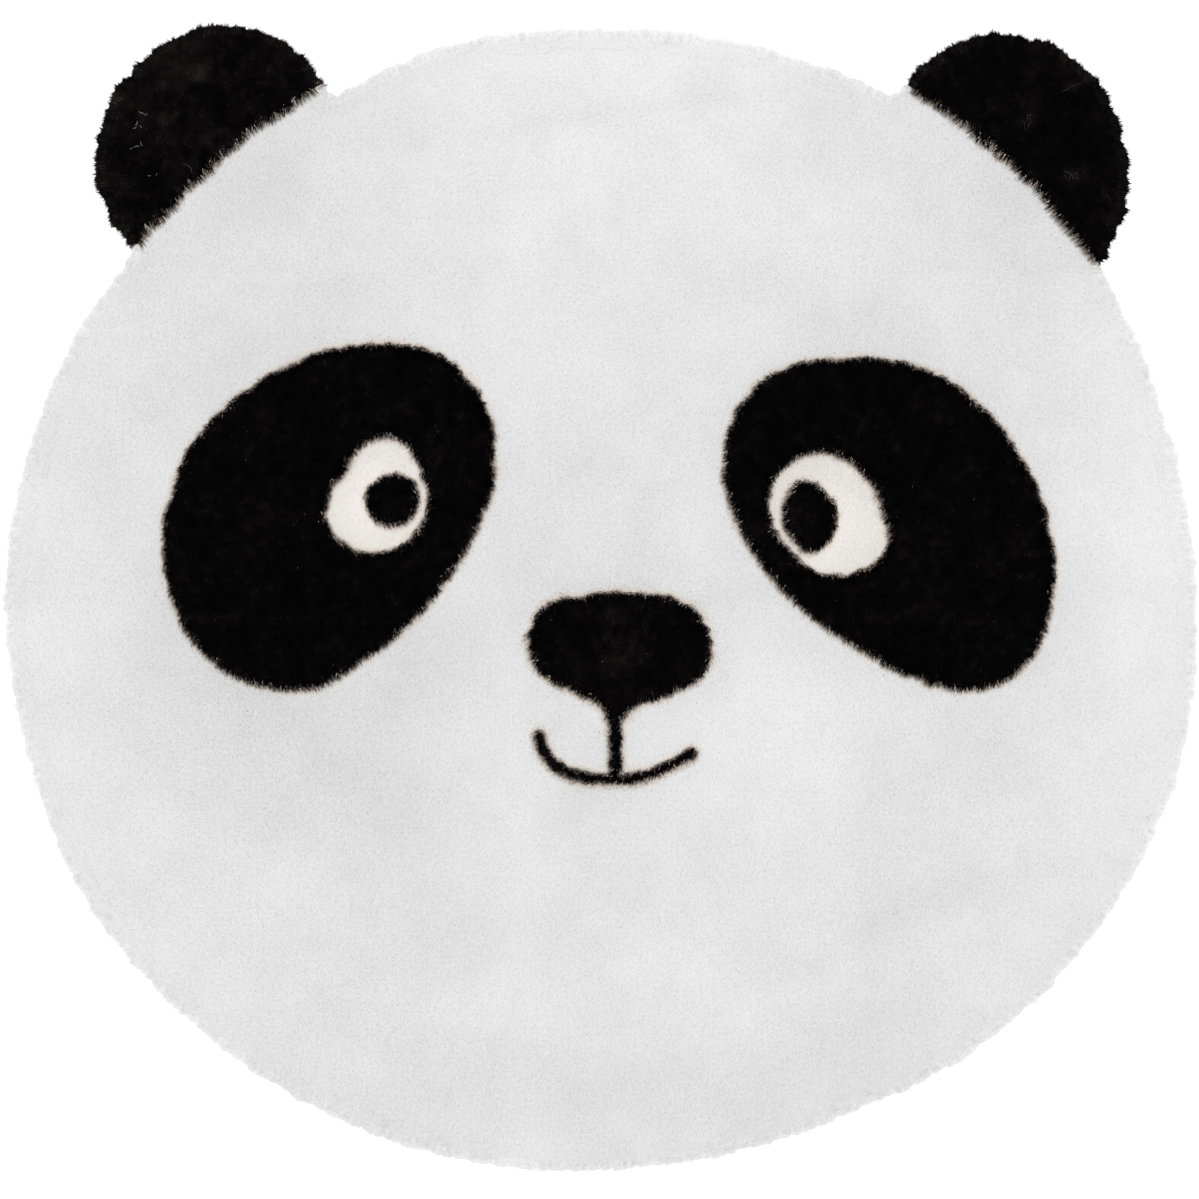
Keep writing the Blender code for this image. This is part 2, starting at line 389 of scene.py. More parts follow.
class Plan:
    """A value for each place on the rug's plan, kept on an even grid and read between its points."""

    def __init__(self, low, step, values):
        self.low = low
        self.step = step
        self.values = values

    def at(self, x, y):
        column = np.clip((x - self.low[0]) / self.step, 0, self.values.shape[1] - 1.001)
        row = np.clip((y - self.low[1]) / self.step, 0, self.values.shape[0] - 1.001)
        i = row.astype(int)
        j = column.astype(int)
        v = row - i
        u = column - j
        near = self.values[i, j] * (1 - u) + self.values[i, j + 1] * u
        far = self.values[i + 1, j] * (1 - u) + self.values[i + 1, j + 1] * u
        return near * (1 - v) + far * v


def plan_grid(low, high, step):
    columns = np.arange(low[0], high[0] + step, step)
    rows = np.arange(low[1], high[1] + step, step)
    return np.meshgrid(columns, rows)


def gap_inside(x, y, points, outward):
    """How far inside an outline each place is, or below 0 outside it."""
    found = np.empty(x.size)
    places = np.stack([x.ravel(), y.ravel()], 1)
    for start in range(0, len(places), 2000):
        some = places[start:start + 2000]
        apart = some[:, None, :] - points[None, :, :]
        nearest = np.argmin((apart**2).sum(2), axis=1)
        rows = np.arange(len(some))
        side = (apart[rows, nearest] * outward[nearest]).sum(1)
        found[start:start + 2000] = -np.sign(side) * np.hypot(*apart[rows, nearest].T)
    return found.reshape(x.shape)


def crown_heights(solid, x, y):
    """The height of the solid's top at each place, or the shoulder's beyond its edge."""
    tree = BVHTree.FromPolygons(
        [vert.co for vert in solid.data.vertices],
        [face.vertices for face in solid.data.polygons],
    )
    heights = np.full(x.size, np.nan)
    for i, (a, b) in enumerate(zip(x.ravel(), y.ravel())):
        met = tree.ray_cast(Vector((a, b, ABOVE_RUG)), Vector((0, 0, -1)))[0]
        if met is not None:
            heights[i] = met.z
    heights[np.isnan(heights)] = SHOULDER
    return heights.reshape(x.shape)


def set_values(piece, name, values):
    """Gives a piece one number for each of its points, which its material reads."""
    layer = piece.data.attributes.new(name, "FLOAT", "POINT")
    layer.data.foreach_set("value", np.ascontiguousarray(values, dtype=np.float32))


def pile_shade(x, y, gap, rng, unevenness, black_unevenness):
    """How much lighter or darker each fibre is beside its plain dye, from its random tone and from
    the painted light and shade below. Black varies by its own share.
    """
    white = 1 + sum(
        depth * soft_noise(x, y, wavelength, 9 + i) for i, (wavelength, depth) in enumerate(CLOUDS)
    )
    # Painted light and shade in patches over the white pile
    for middle_x, middle_y, half_long, half_short, turned_deg, more in PAINTED_LIGHT_AND_SHADE:
        turn = math.radians(turned_deg)
        dx = x / MM - middle_x
        dy = y / MM - middle_y
        along = (dx * math.cos(turn) + dy * math.sin(turn)) / half_long
        across = (dy * math.cos(turn) - dx * math.sin(turn)) / half_short
        white += more * np.exp(-(along**2) - across**2)
    white -= SOOT * np.exp(-np.maximum(gap, 0) / SOOT_REACH_MM)
    white *= 1 + unevenness * rng.uniform(-1, 1, x.size)
    black = np.ones(x.size)
    # Paler black, partly the print's own and partly painted sheen
    for middle_x, middle_y, reach, more in PALE_BLACK_AND_SHEEN:
        apart = np.hypot(x / MM - middle_x, y / MM - middle_y) / reach
        black += more * np.exp(-(apart**2))
    # Painted glow: the black near the rim is made paler for the light that comes through the fibres
    black += RIM_PAINTED_GLOW * np.exp(-np.maximum(inside.at(x, y), 0) / RIM_PAINTED_GLOW_REACH)
    if not black_unevenness:
        black = 1 + (black - 1) * BED_PALE_AND_SHEEN_SHARE
    black *= np.exp(sum(
        depth * soft_noise(x, y, wavelength, 14 + i)
        for i, (wavelength, depth) in enumerate(BLACK_CLOUDS)
    ))
    black *= np.exp(black_unevenness * rng.normal(0, 1, x.size))
    return np.where(gap < -DYED_FROM_MM, black, white)


def plush_material():
    """Soft matt pile. The dye fades from black through a tan tinge to the bare off-white."""
    material = bpy.data.materials.new("plush_pile")
    material.use_nodes = True
    nodes = material.node_tree.nodes
    links = material.node_tree.links
    shader = nodes["Principled BSDF"]
    shader.inputs["Roughness"].default_value = 0.90
    shader.inputs["Specular IOR Level"].default_value = 0.02
    shader.inputs["Sheen Weight"].default_value = 0.004
    shader.inputs["Sheen Roughness"].default_value = 0.50
    gap = nodes.new("ShaderNodeAttribute")
    gap.attribute_name = "print_gap"
    fade = nodes.new("ShaderNodeMapRange")
    fade.inputs["From Min"].default_value = -PRINT_FADE_MM
    fade.inputs["From Max"].default_value = PRINT_FADE_MM
    dye = nodes.new("ShaderNodeValToRGB")
    dye.color_ramp.elements[0].position = 0.46
    dye.color_ramp.elements[0].color = BLACK_DYE
    dye.color_ramp.elements[1].position = 1.0
    dye.color_ramp.elements[1].color = WHITE_PILE
    dye.color_ramp.elements.new(0.51).color = BROWN_DYE
    dye.color_ramp.elements.new(0.58).color = SPARSE_DYE
    dye.color_ramp.elements.new(0.68).color = TAN_TINGE
    # The shade holds each fibre's random tone together with its painted light and shade
    shade = nodes.new("ShaderNodeAttribute")
    shade.attribute_name = "shade"
    shaded = nodes.new("ShaderNodeVectorMath")
    shaded.operation = "SCALE"
    links.new(gap.outputs["Fac"], fade.inputs["Value"])
    links.new(fade.outputs["Result"], dye.inputs["Fac"])
    links.new(dye.outputs["Color"], shaded.inputs[0])
    links.new(shade.outputs["Fac"], shaded.inputs["Scale"])
    links.new(shaded.outputs["Vector"], shader.inputs["Base Color"])
    return material


plush = plush_material()
edge, outward = resampled(cloth_edge, EDGE_STEP)
pile_edge = edge + outward * EDGE_OVERHANG
low = pile_edge.min(0) - PLAN_MARGIN
high = pile_edge.max(0) + PLAN_MARGIN
plan_x, plan_y = plan_grid(low, high, PLAN_STEP)
inside = Plan(low, PLAN_STEP, gap_inside(plan_x, plan_y, pile_edge, outward))
crown = Plan(low, PLAN_STEP, crown_heights(rug_solid, plan_x, plan_y))


def lower_pile():
    """An even sheet of points over the plan, cut off at the rim's line, and its triangles."""
    rows = int((high[1] - low[1]) / (BED_STEP * math.sqrt(0.75))) + 1
    columns = int((high[0] - low[0]) / BED_STEP) + 1
    j, i = np.meshgrid(np.arange(columns), np.arange(rows))
    x = low[0] + (j + (i % 2) / 2) * BED_STEP
    y = low[1] + i * BED_STEP * math.sqrt(0.75)
    at = np.arange(x.size).reshape(x.shape)
    even = (i % 2 == 0)[:-1, :-1]
    a, b, c, d = at[:-1, :-1], at[:-1, 1:], at[1:, :-1], at[1:, 1:]
    lower = np.where(even[..., None], np.stack([a, b, c], -1), np.stack([a, b, d], -1))
    upper = np.where(even[..., None], np.stack([b, d, c], -1), np.stack([a, d, c], -1))
    faces = np.concatenate([lower.reshape(-1, 3), upper.reshape(-1, 3)])
    x = x.ravel()
    y = y.ravel()
    gap = inside.at(x, y)
    kept = (gap[faces] > RIM_INSIDE).all(1)
    faces = faces[kept]
    used = np.unique(faces)
    renumbered = np.full(x.size, -1)
    renumbered[used] = np.arange(len(used))
    faces = renumbered[faces]
    places = np.stack([x[used], y[used]], 1)
    pairs = np.sort(np.concatenate([faces[:, [0, 1]], faces[:, [1, 2]], faces[:, [2, 0]]]), 1)
    pairs, times = np.unique(pairs, axis=0, return_counts=True)
    for i in np.unique(pairs[times == 1]):
        places[i] = rim_line[np.argmin(((rim_line - places[i]) ** 2).sum(1))]
    return places[:, 0], places[:, 1], faces


def rim_reach(x, y):
    """How far the rim's section reaches from its line at each place along the edge."""
    white, black = (
        sum(
            depth * soft_noise(x, y, wavelength, 21 + i)
            for i, (wavelength, depth) in enumerate(waves)
        )
        for waves in (RIM_WAVES, BLACK_RIM_WAVES)
    )
    return RIM_INSIDE + RIM_REACH + np.where(print_gap(x, y) < 0, black, white)


def rim_section(turn, reach, rise):
    """How far out and up the rim's section is from its line, by the turn above level."""
    out = np.sign(np.cos(turn)) * np.abs(np.cos(turn)) ** RIM_SQUARENESS
    up = np.sign(np.sin(turn)) * np.abs(np.sin(turn)) ** RIM_SQUARENESS
    return reach * out, np.where(up > 0, rise, RIM_FALL) * up


def rim_roll():
    """The lower pile's rounded edge, as rings from its flat top round and down to the cloth."""
    rise = crown.at(*rim_line.T) - BED_BELOW_CROWN - RIM_HEIGHT
    reach = rim_reach(*pile_edge.T) * RIM_SHARE
    rings = []
    for turn_deg in RIM_TURNS_DEG:
        out, up = rim_section(math.radians(turn_deg), reach, rise)
        rings.append(np.column_stack([rim_line + outward * out[:, None], RIM_HEIGHT + up]))
    tuck = pile_edge - outward * RIM_TUCK
    rings.append(np.column_stack([tuck, np.full(len(tuck), CLOTH_THICKNESS)]))
    return np.array(rings)


rng = np.random.default_rng(6)
rim_line = pile_edge - outward * RIM_INSIDE
bed_x, bed_y, bed_faces = lower_pile()
bed_mesh = bpy.data.meshes.new("lower_pile")
bed_z = crown.at(bed_x, bed_y) - BED_BELOW_CROWN
bed_mesh.from_pydata(np.stack([bed_x, bed_y, bed_z], 1), [], bed_faces.tolist())
bed = bpy.data.objects.new("lower_pile", bed_mesh)
bpy.context.scene.collection.objects.link(bed)
bed_mesh.shade_smooth()
bed_gap = with_eye_tinge(bed_x, bed_y, print_gap(bed_x, bed_y))
set_values(bed, "print_gap", bed_gap)
set_values(bed, "shade", pile_shade(bed_x, bed_y, bed_gap, rng, 0, 0))
bed_map = bed_mesh.uv_layers.new(name="OFBake")
corner_verts = np.empty(len(bed_mesh.loops), int)
bed_mesh.loops.foreach_get("vertex_index", corner_verts)
span = (high - low).max()
bed_uv = np.stack([(bed_x - low[0]) / span, (bed_y - low[1]) / span], 1)[corner_verts]
bed_map.uv.foreach_set("vector", np.ascontiguousarray(bed_uv.ravel(), dtype=np.float32))
bed_mesh.materials.append(plush)
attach(bed, "root")
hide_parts("plush_rug")

rings = rim_roll()
ring_count, ring_points = rings.shape[:2]
i, j = (part.ravel() for part in np.mgrid[0:ring_count - 1, 0:ring_points])
steps = np.array(((0, 0), (1, 0), (1, 1), (0, 1)))  # a face's corners, by ring and along it
roll_faces = (i[:, None] + steps[:, 0]) * ring_points + (j[:, None] + steps[:, 1]) % ring_points
roll_mesh = bpy.data.meshes.new("lower_pile_rim")
roll_mesh.from_pydata(rings.reshape(-1, 3), [], roll_faces.tolist())
roll = bpy.data.objects.new("lower_pile_rim", roll_mesh)
bpy.context.scene.collection.objects.link(roll)
roll_mesh.shade_smooth()
roll_foot = np.tile(pile_edge - outward * RIM_TUCK, (ring_count, 1)).T
roll_gap = print_gap(*roll_foot)
roll_gap *= np.where(roll_gap > 0, RIM_FADE, 1)
set_values(roll, "print_gap", roll_gap)
roll_turn = np.radians(np.repeat(RIM_TURNS_DEG + (RIM_FOOT_TURN_DEG,), ring_points))
roll_shade = pile_shade(*roll_foot, roll_gap, rng, 0, 0)
# Painted light: the rounded edge is made lighter where it faces sideways
roll_shade *= 1 + RIM_SIDE_PAINTED_LIGHT * np.cos(roll_turn)
set_values(roll, "shade", roll_shade)
to_a_row = math.ceil(ring_points / RIM_ROWS)
roll_u = (j[:, None] % to_a_row + steps[:, 1]) / to_a_row
roll_v = (1 - 2 * RIM_ROW_INSET) * (i[:, None] + steps[:, 0]) / ring_count
roll_v = (j[:, None] // to_a_row + RIM_ROW_INSET + roll_v) / RIM_ROWS
roll_map = roll_mesh.uv_layers.new(name="OFBake")
roll_uv = np.stack([roll_u, roll_v], -1)
roll_map.uv.foreach_set("vector", np.ascontiguousarray(roll_uv.ravel(), dtype=np.float32))
roll_mesh.materials.append(plush)
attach(roll, "root")
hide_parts("plush_rug")


# ---------------------------------------------------------------------------------------------
# Pile. Fine, dense polyester fibres sheared level and brushed towards the chin. Each blade
# stands for a few of them: it rises out of the lower pile and leans its own way. Along the
# print's edge the dyed fibres lean out over the bare ones.

FIELD_NAMES = ("pile_ears", "pile_brow", "pile_cheeks", "pile_mouth", "pile_chin")
FIELD_BLADES = 158000
BLADE_PITCH = 0.00088
BLACK_SHARE = 0.70  # share of them that is enough deep in the black
DEEP_BLACK_MM = 8
FIELD_OVERRUN = 0.0008  # how far they stand past the rim's line
EDGE_PITCH = 0.00080  # further blades stand so close along the print's edge
EDGE_REACH_MM = 3.5
BLADE_WIDTH = 0.00058
WIDTH_SPREAD = 0.2
EDGE_WIDENING = 0.15  # share by which the blades along the print's edge are wider
SIDE_SPREAD = 0.35  # how far a blade is turned about its own length, in radians
ROOT_BELOW_BED = 0.0005
LEAN_SPREAD = 0.0010
NAP_LEAN = 0.0022
NAP_TO_CHIN = -math.pi / 2
NAP_WAVES = ((0.22, 1.1), (0.05, 0.5))  # wavelength in metres, and how far it turns in radians
LEAN_DROP = 0.10  # share of its lean by which a blade ends lower
SLOPE_REACH_MM = 30  # the way to the print's edge is known this far from it
EDGE_MIDDLE_MM = 1.5  # the fibres that lean out stand about this far inside it,
EDGE_HALF_MM = 4.0  # and this far either way
EDGE_LEAN = 0.0034
EDGE_LEAN_RANGE = (0.1, 1.5)
EAR_EDGE_LEAN = 1.7  # the fibres at the ears' edge lean so much further
LONGEST_LEAN = 0.0095
RIM_LEAN = 0.0016  # how far the fibres lean outwards at the rim, at least
RIM_LEAN_FROM = 0.022  # they begin to, this far inside the pile's edge
CLUMP_PITCH = 0.0046
CLUMP_SPREAD = 0.38
CLUMP_TABLE = 128
CLUMP_PULL = 0.09
EDGE_CLUMP_PULL = 0.26  # the same along the print's edge
FINE_EDGE_CLUMP_PULL = 0.10  # about the eyes, the nose and the mouth, where the edge is finer
FINE_EDGE_LEAN = 0.65
TIP_UNEVENNESS = 0.0002
DYE_UNEVENNESS_MM = 1.0
EYE_UNEVENNESS_MM = 1.2  # the same in and about the eyes
EYE_REACH_MM = 9
EAR_UNEVENNESS_MM = 1.3
STRAYS = 0.05  # share of the fibres that come from further inside the print than they lie
NOSE_STRAYS = 0.14  # the same about the nose and the mouth
STRAY_MM = 3.4
NOSE_REGION = (10, -70, 100, 110, 0)  # middle, half lengths and turn, in mm
TIP_TAKES_DYE = 0.12  # share by which a blade's tip has the dye of where it is, not of its root
TIP_DYE_REACH_MM = 9
BLADE_UNEVENNESS = 0.011
BLACK_UNEVENNESS = 1.1
BLACK_RIM_UNEVENNESS = 0.6
EDGE_RISE = 0.0011  # how much higher the fibres lie that lean out over the print's edge
FIELD_PATTERN = ((0, 1, 2),)
FIELD_SHAPES = (
    ((0.10, 0.10), (0.82, 0.10), (0.10, 0.82)),
    ((0.90, 0.90), (0.18, 0.90), (0.90, 0.18)),
)


def clump_centres(x, y, rng_seed):
    """The middle of the clump of fibres that each place belongs to."""
    table = np.random.default_rng(rng_seed).uniform(
        -CLUMP_SPREAD, CLUMP_SPREAD, (2, CLUMP_TABLE, CLUMP_TABLE)
    )
    best = np.full(x.size, np.inf)
    found = np.stack([x, y])
    i0 = np.floor(x / CLUMP_PITCH).astype(int)
    j0 = np.floor(y / CLUMP_PITCH).astype(int)
    for di in (-1, 0, 1):
        for dj in (-1, 0, 1):
            i = i0 + di
            j = j0 + dj
            cx = (i + 0.5 + table[0, i % CLUMP_TABLE, j % CLUMP_TABLE]) * CLUMP_PITCH
            cy = (j + 0.5 + table[1, i % CLUMP_TABLE, j % CLUMP_TABLE]) * CLUMP_PITCH
            apart = np.hypot(x - cx, y - cy)
            nearer = apart < best
            best[nearer] = apart[nearer]
            found[0][nearer] = cx[nearer]
            found[1][nearer] = cy[nearer]
    return found


def blade_mesh(name, points, pattern, gaps, shades):
    """Joins blades in one mesh. Each is a few points, with the same pattern of triangles."""
    blades, per_blade = points.shape[:2]
    mesh = bpy.data.meshes.new(name)
    mesh.vertices.add(blades * per_blade)
    mesh.vertices.foreach_set("co", np.ascontiguousarray(points.ravel(), dtype=np.float32))
    corners = np.arange(blades)[:, None] * per_blade + np.array(pattern).ravel()
    mesh.loops.add(corners.size)
    mesh.loops.foreach_set("vertex_index", corners.ravel().astype(np.int32))
    mesh.polygons.add(corners.size // 3)
    mesh.polygons.foreach_set("loop_start", np.arange(0, corners.size, 3, dtype=np.int32))
    mesh.update(calc_edges=True)
    piece = bpy.data.objects.new(name, mesh)
    bpy.context.scene.collection.objects.link(piece)
    set_values(piece, "print_gap", gaps.ravel())
    set_values(piece, "shade", np.repeat(shades, per_blade))
    return piece


def blade_map(mesh, shapes):
    """Sets blades in small squares of the map, in rows, each in the shape of its own turn."""
    to_a_square = len(shapes)
    blades = len(mesh.loops) // len(shapes[0])
    across = int(math.ceil(math.sqrt(blades / to_a_square)))
    order = np.arange(blades)
    square = order // to_a_square
    corner = np.stack([square % across, square // across], 1)
    shape = np.array(shapes)[order % to_a_square]
    uv = (corner[:, None, :] + shape) / across
    layer = mesh.uv_layers.new(name="OFBake")
    layer.uv.foreach_set("vector", np.ascontiguousarray(uv.ravel(), dtype=np.float32))


rng = np.random.default_rng(7)
wanted = FIELD_BLADES * len(FIELD_NAMES)
gap_there = print_gap(plan_x, plan_y)
roots = []
for pitch in (BLADE_PITCH, EDGE_PITCH):
    x, y = (part.ravel() for part in plan_grid(low, high, pitch))
    x = x + rng.uniform(0, pitch, x.size)
    y = y + rng.uniform(0, pitch, y.size)
    gap = Plan(low, PLAN_STEP, gap_there).at(x, y)
    if pitch == BLADE_PITCH:
        kept = (gap > -DEEP_BLACK_MM) | (rng.uniform(0, 1, x.size) < BLACK_SHARE)
    else:
        kept = np.abs(gap) < EDGE_REACH_MM
    kept &= inside.at(x, y) > RIM_INSIDE - FIELD_OVERRUN
    roots.append(np.stack([x[kept], y[kept]], 1))
roots = rng.permutation(np.concatenate(roots))[:wanted]
x, y = roots[np.argsort(-roots[:, 1], kind="stable")].T
slopes = np.gradient(np.clip(gap_there, -SLOPE_REACH_MM, SLOPE_REACH_MM), PLAN_STEP / MM)
away_x = np.clip(Plan(low, PLAN_STEP, slopes[1]).at(x, y), -1, 1)
away_y = np.clip(Plan(low, PLAN_STEP, slopes[0]).at(x, y), -1, 1)
nap = np.full(x.size, NAP_TO_CHIN)
for i, (wavelength, nap_turn) in enumerate(NAP_WAVES):
    nap += nap_turn * soft_noise(x, y, wavelength, 3 + i)
nap_x = NAP_LEAN * np.cos(nap)
nap_y = NAP_LEAN * np.sin(nap)
root_gap = print_gap(x + nap_x / 2, y + nap_y / 2)
by_edge = np.clip(1 - np.abs(root_gap + EDGE_MIDDLE_MM) / EDGE_HALF_MM, 0, 1)
by_eye = np.minimum(*eye_gaps(x / MM, y / MM)) < EYE_REACH_MM
by_nose = round_gap(x / MM, y / MM, *NOSE_REGION) < 0
edge_lean = EDGE_LEAN * by_edge * rng.uniform(*EDGE_LEAN_RANGE, len(x))
edge_lean *= np.where(y > EAR_PRINT_FROM * MM, EAR_EDGE_LEAN, 1)
edge_lean *= np.where(by_eye | by_nose, FINE_EDGE_LEAN, 1)
lean_x = rng.normal(0, LEAN_SPREAD, len(x)) + nap_x + edge_lean * away_x
lean_y = rng.normal(0, LEAN_SPREAD, len(x)) + nap_y + edge_lean * away_y
inward = np.gradient(inside.values, PLAN_STEP)
inward_x = Plan(low, PLAN_STEP, inward[1]).at(x, y)
inward_y = Plan(low, PLAN_STEP, inward[0]).at(x, y)
nap_inward = nap_x * inward_x + nap_y * inward_y
rim_lean = np.maximum(RIM_LEAN + nap_inward, 0) * np.clip(1 - inside.at(x, y) / RIM_LEAN_FROM, 0, 1)
lean_x -= rim_lean * inward_x
lean_y -= rim_lean * inward_y
reach = np.hypot(lean_x, lean_y)
capped = np.minimum(reach, LONGEST_LEAN) / np.maximum(reach, 1e-9)
tip_x = x + lean_x * capped
tip_y = y + lean_y * capped
clump_x, clump_y = clump_centres(tip_x, tip_y, 5)
edge_pull = np.where(by_eye | by_nose, FINE_EDGE_CLUMP_PULL, EDGE_CLUMP_PULL)
pull = CLUMP_PULL + (edge_pull - CLUMP_PULL) * by_edge
tip_x += (clump_x - tip_x) * pull
tip_y += (clump_y - tip_y) * pull
root_z = crown.at(x, y) - BED_BELOW_CROWN - ROOT_BELOW_BED + EDGE_RISE * by_edge
tip_z = crown.at(tip_x, tip_y) + rng.normal(0, TIP_UNEVENNESS, len(x)) + EDGE_RISE * by_edge
tip_z -= LEAN_DROP * np.hypot(tip_x - x, tip_y - y)
side = np.arctan2(tip_x - x, -(tip_y - y)) + rng.normal(0, SIDE_SPREAD, len(x))
half = BLADE_WIDTH / 2 * rng.uniform(1 - WIDTH_SPREAD, 1 + WIDTH_SPREAD, len(x))
half *= 1 + EDGE_WIDENING * by_edge
side_x = half * np.cos(side)
side_y = half * np.sin(side)
corners = np.stack([
    np.stack([x - side_x, y - side_y, root_z], 1),
    np.stack([x + side_x, y + side_y, root_z], 1),
    np.stack([tip_x, tip_y, tip_z], 1),
], 1)
upward = np.cross(corners[:, 1] - corners[:, 0], corners[:, 2] - corners[:, 0])[:, 2] > 0
corners[~upward] = corners[~upward][:, [1, 0, 2]]
unevenness = np.full(len(x), DYE_UNEVENNESS_MM)
unevenness[by_eye] = EYE_UNEVENNESS_MM
unevenness[y > EAR_PRINT_FROM * MM] = EAR_UNEVENNESS_MM
root_gap += unevenness * rng.normal(0, 1, len(x))
strays = rng.uniform(0, 1, len(x)) < np.where(by_nose, NOSE_STRAYS, STRAYS)
root_gap -= strays * rng.exponential(STRAY_MM, len(x))
gaps = np.tile(root_gap[:, None], (1, 3))
near_edge = np.abs(root_gap) < TIP_DYE_REACH_MM
tip_gap = print_gap(tip_x[near_edge], tip_y[near_edge])
gaps[near_edge, 2] += TIP_TAKES_DYE * (tip_gap - root_gap[near_edge])
gaps = with_eye_tinge(x[:, None], y[:, None], gaps)
shades = pile_shade(x, y, gaps[:, 0], rng, BLADE_UNEVENNESS, BLACK_UNEVENNESS)
for k, name in enumerate(FIELD_NAMES):
    part = slice(k * FIELD_BLADES, (k + 1) * FIELD_BLADES)
    piece = blade_mesh(name, corners[part], FIELD_PATTERN, gaps[part], shades[part])
    blade_map(piece.data, FIELD_SHAPES)
    piece.data.materials.append(plush)
    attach(piece, "root")
    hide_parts("plush_rug")


# ---------------------------------------------------------------------------------------------
# Rim. Where the cloth is cut, the pile has no neighbours to hold it up, so it splays out in a
# fan over the edge, in small uneven tufts that hide the cloth and give the rug its soft outline.

RIM_BLADES = 64000
RIM_WIDTH = 0.0008
FAN_LOWEST_DEG = -58
FAN_HIGHEST_DEG = 80
ROOT_TURN_DEG = 13  # a fibre's root lies this much further round the section than its tip
RIM_ROOT_DEPTH = 0.0003
TUFT_PITCH = 0.0050
TUFT_PITCH_SPREAD = 0.8
SECTION_POINTS = 120
RISE_SPREAD = 0.0003
LOWEST_TIP = 0.0003  # no fibre ends lower than this above the floor
TUFT_DEPTH = 0.0003  # how far a tuft's middle stands out past its sides
TUFT_DEPTH_RANGE = (0.1, 1.9)
TUFT_LEVEL = 0.4  # share of that by which the middle stands past the rim's own line
BLACK_TUFT_DEPTH = 0.0010
TUFT_GATHER = 0.18  # share by which fibres lean to the middle of their tuft
TUFT_SWAY = 0.0009
FIBRE_SWAY = 0.0007
SHORTFALL = 0.0003  # how far the fibres' tips end short of it, on the whole
BLACK_SHORTFALL = 0.0012
WISPS = 0.10  # share of the fibres that stand out past their tuft
WISP_LENGTH = 0.0018
BLACK_WISPS = 0.34
BLACK_WISP_LENGTH = 0.0030
# Painted light at the rim: its white fibres are made lighter than the field's, for the light they
# lack there, and its black ones paler, for the light that comes through them
RIM_PAINTED_LIGHT = 1.03
BLACK_RIM_PAINTED_LIGHT = 1.5
DYE_READ_INSIDE = 0.004  # the fibres have the dye of this far inside the pile's edge

rng = np.random.default_rng(8)
at = np.sort(rng.uniform(0, len(pile_edge), RIM_BLADES))
before = at.astype(int) % len(pile_edge)
after = (before + 1) % len(pile_edge)
share = (at - np.floor(at))[:, None]
foot = pile_edge[before] * (1 - share) + pile_edge[after] * share
out = outward[before] * (1 - share) + outward[after] * share
along = np.stack([-out[:, 1], out[:, 0]], 1)
rim_gap = print_gap(*(foot - out * DYE_READ_INSIDE).T)
rim_gap += rng.normal(0, DYE_UNEVENNESS_MM, RIM_BLADES)
rim_gap *= np.where(rim_gap > 0, RIM_FADE, 1)

tuft_count = int(len(pile_edge) * EDGE_STEP / TUFT_PITCH)
tuft_widths = rng.uniform(1 - TUFT_PITCH_SPREAD, 1 + TUFT_PITCH_SPREAD, tuft_count)
tuft_ends = np.cumsum(tuft_widths) * len(pile_edge) / tuft_widths.sum()
tuft = np.minimum(np.searchsorted(tuft_ends, at), tuft_count - 1)
tuft_half = tuft_widths[tuft] / 2 * len(pile_edge) / tuft_widths.sum()
off_middle = (at - (tuft_ends[tuft] - tuft_half)) / tuft_half
depth = np.where(rim_gap < 0, BLACK_TUFT_DEPTH, TUFT_DEPTH)
depth *= rng.uniform(*TUFT_DEPTH_RANGE, tuft_count)[tuft]
is_wisp = rng.uniform(0, 1, RIM_BLADES) < np.where(rim_gap < 0, BLACK_WISPS, WISPS)
wisp = is_wisp * rng.uniform(0, 1, RIM_BLADES)
wisp *= np.where(rim_gap < 0, BLACK_WISP_LENGTH, WISP_LENGTH)
reach = rim_reach(*foot.T)
short = rng.exponential(1, RIM_BLADES) * np.where(rim_gap < 0, BLACK_SHORTFALL, SHORTFALL)
tip_reach = reach + depth * (TUFT_LEVEL - off_middle**2) + wisp - short

# The fibres stand evenly along the section
turns = np.radians(np.linspace(FAN_LOWEST_DEG, FAN_HIGHEST_DEG, SECTION_POINTS))
section_out, section_up = rim_section(turns, RIM_INSIDE + RIM_REACH, SHOULDER - RIM_HEIGHT)
passed = np.hypot(np.diff(section_out), np.diff(section_up)).cumsum()
turn = np.interp(rng.uniform(0, passed[-1], RIM_BLADES), np.append(0, passed), turns)
line = foot - out * RIM_INSIDE
rise = crown.at(*line.T) - RIM_HEIGHT
tip_rise = rise + rng.normal(0, RISE_SPREAD, RIM_BLADES)
tip_out, tip_up = rim_section(turn, tip_reach, tip_rise)
root_out, root_up = rim_section(
    turn + math.radians(ROOT_TURN_DEG),
    reach * RIM_SHARE - RIM_ROOT_DEPTH,
    rise - BED_BELOW_CROWN - RIM_ROOT_DEPTH,
)
sway = rng.normal(0, TUFT_SWAY, tuft_count)[tuft] + rng.normal(0, FIBRE_SWAY, RIM_BLADES)
sway -= off_middle * tuft_half * EDGE_STEP * TUFT_GATHER
root = np.column_stack([line + out * root_out[:, None], RIM_HEIGHT + root_up])
tip_plan = line + out * tip_out[:, None] + along * sway[:, None]
tip = np.column_stack([tip_plan, np.maximum(RIM_HEIGHT + tip_up, LOWEST_TIP)])
across = np.column_stack([along, rng.normal(0, SIDE_SPREAD, RIM_BLADES)])
across *= (RIM_WIDTH / 2 * rng.uniform(1 - WIDTH_SPREAD, 1 + WIDTH_SPREAD, RIM_BLADES))[:, None]
points = np.stack([root - across, root + across, tip], 1)
normal = np.cross(points[:, 1] - points[:, 0], points[:, 2] - points[:, 0])
